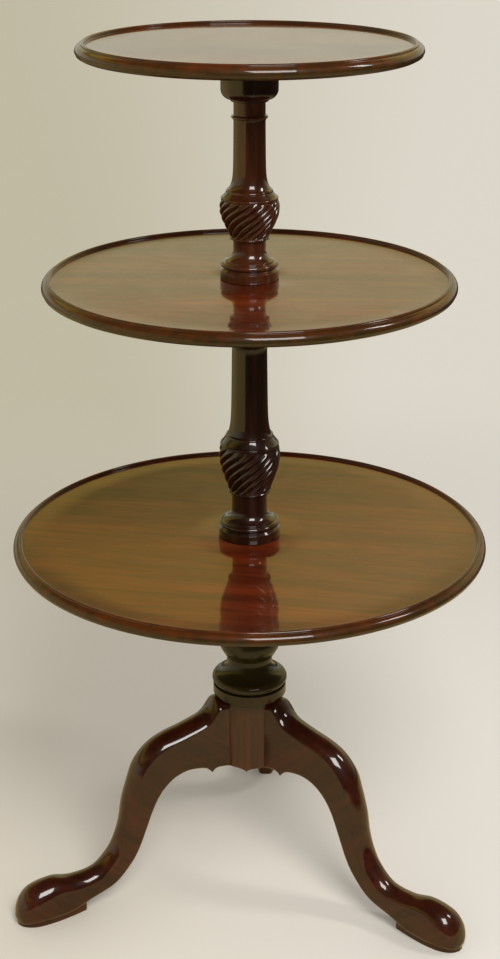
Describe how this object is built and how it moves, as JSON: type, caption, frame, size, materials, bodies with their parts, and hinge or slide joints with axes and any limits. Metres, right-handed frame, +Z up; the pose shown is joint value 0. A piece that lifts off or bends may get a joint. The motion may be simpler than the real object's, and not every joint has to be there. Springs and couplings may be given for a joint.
{
  "type": "dumbwaiter table",
  "caption": "Mahogany tiered dumbwaiter: dished round trays turn on stacked columns with spiral-carved bulbs over a tripod of cabriole legs.",
  "frame": {"origin": "on the floor, under the middle of the bounding box, which lies 17.6 mm behind the pillar's axis, on the rear leg's side", "axes": "+Z up along the columns, +Y along the rear leg, +X to the right seen from the front"},
  "size_m": [0.6088, 0.6443, 1.1287],
  "materials": {
    "pillar_wood": "dark red-brown mahogany, French polished",
    "leg_wood": "dark red-brown mahogany, French polished",
    "column_wood": "dark red-brown mahogany, French polished",
    "tray_wood": "orange-brown figured mahogany, French polished",
    "block_wood": "very dark brown mahogany, French polished"
  },
  "bodies": {
    "stand": {"base_pillar": "pillar_wood", "rear_leg": "leg_wood", "left_leg": "leg_wood", "right_leg": "leg_wood", "lower_column": "column_wood", "upper_column": "column_wood"},
    "lower_tier": {"lower_tray": "tray_wood", "lower_block": "block_wood"},
    "middle_tier": {"middle_tray": "tray_wood", "middle_block": "block_wood"},
    "top_tier": {"top_tray": "tray_wood", "top_block": "block_wood"}
  },
  "joints": [
    {"name": "lower_tier_turn", "type": "hinge", "parent": "stand", "child": "lower_tier", "pos_m": [0, -0.0176, 0.503], "axis": [0, 0, 1], "continuous": true},
    {"name": "middle_tier_turn", "type": "hinge", "parent": "stand", "child": "middle_tier", "pos_m": [0, -0.0176, 0.8435], "axis": [0, 0, 1], "continuous": true},
    {"name": "top_tier_turn", "type": "hinge", "parent": "stand", "child": "top_tier", "pos_m": [0, -0.0176, 1.1243], "axis": [0, 0, 1], "continuous": true}
  ]
}
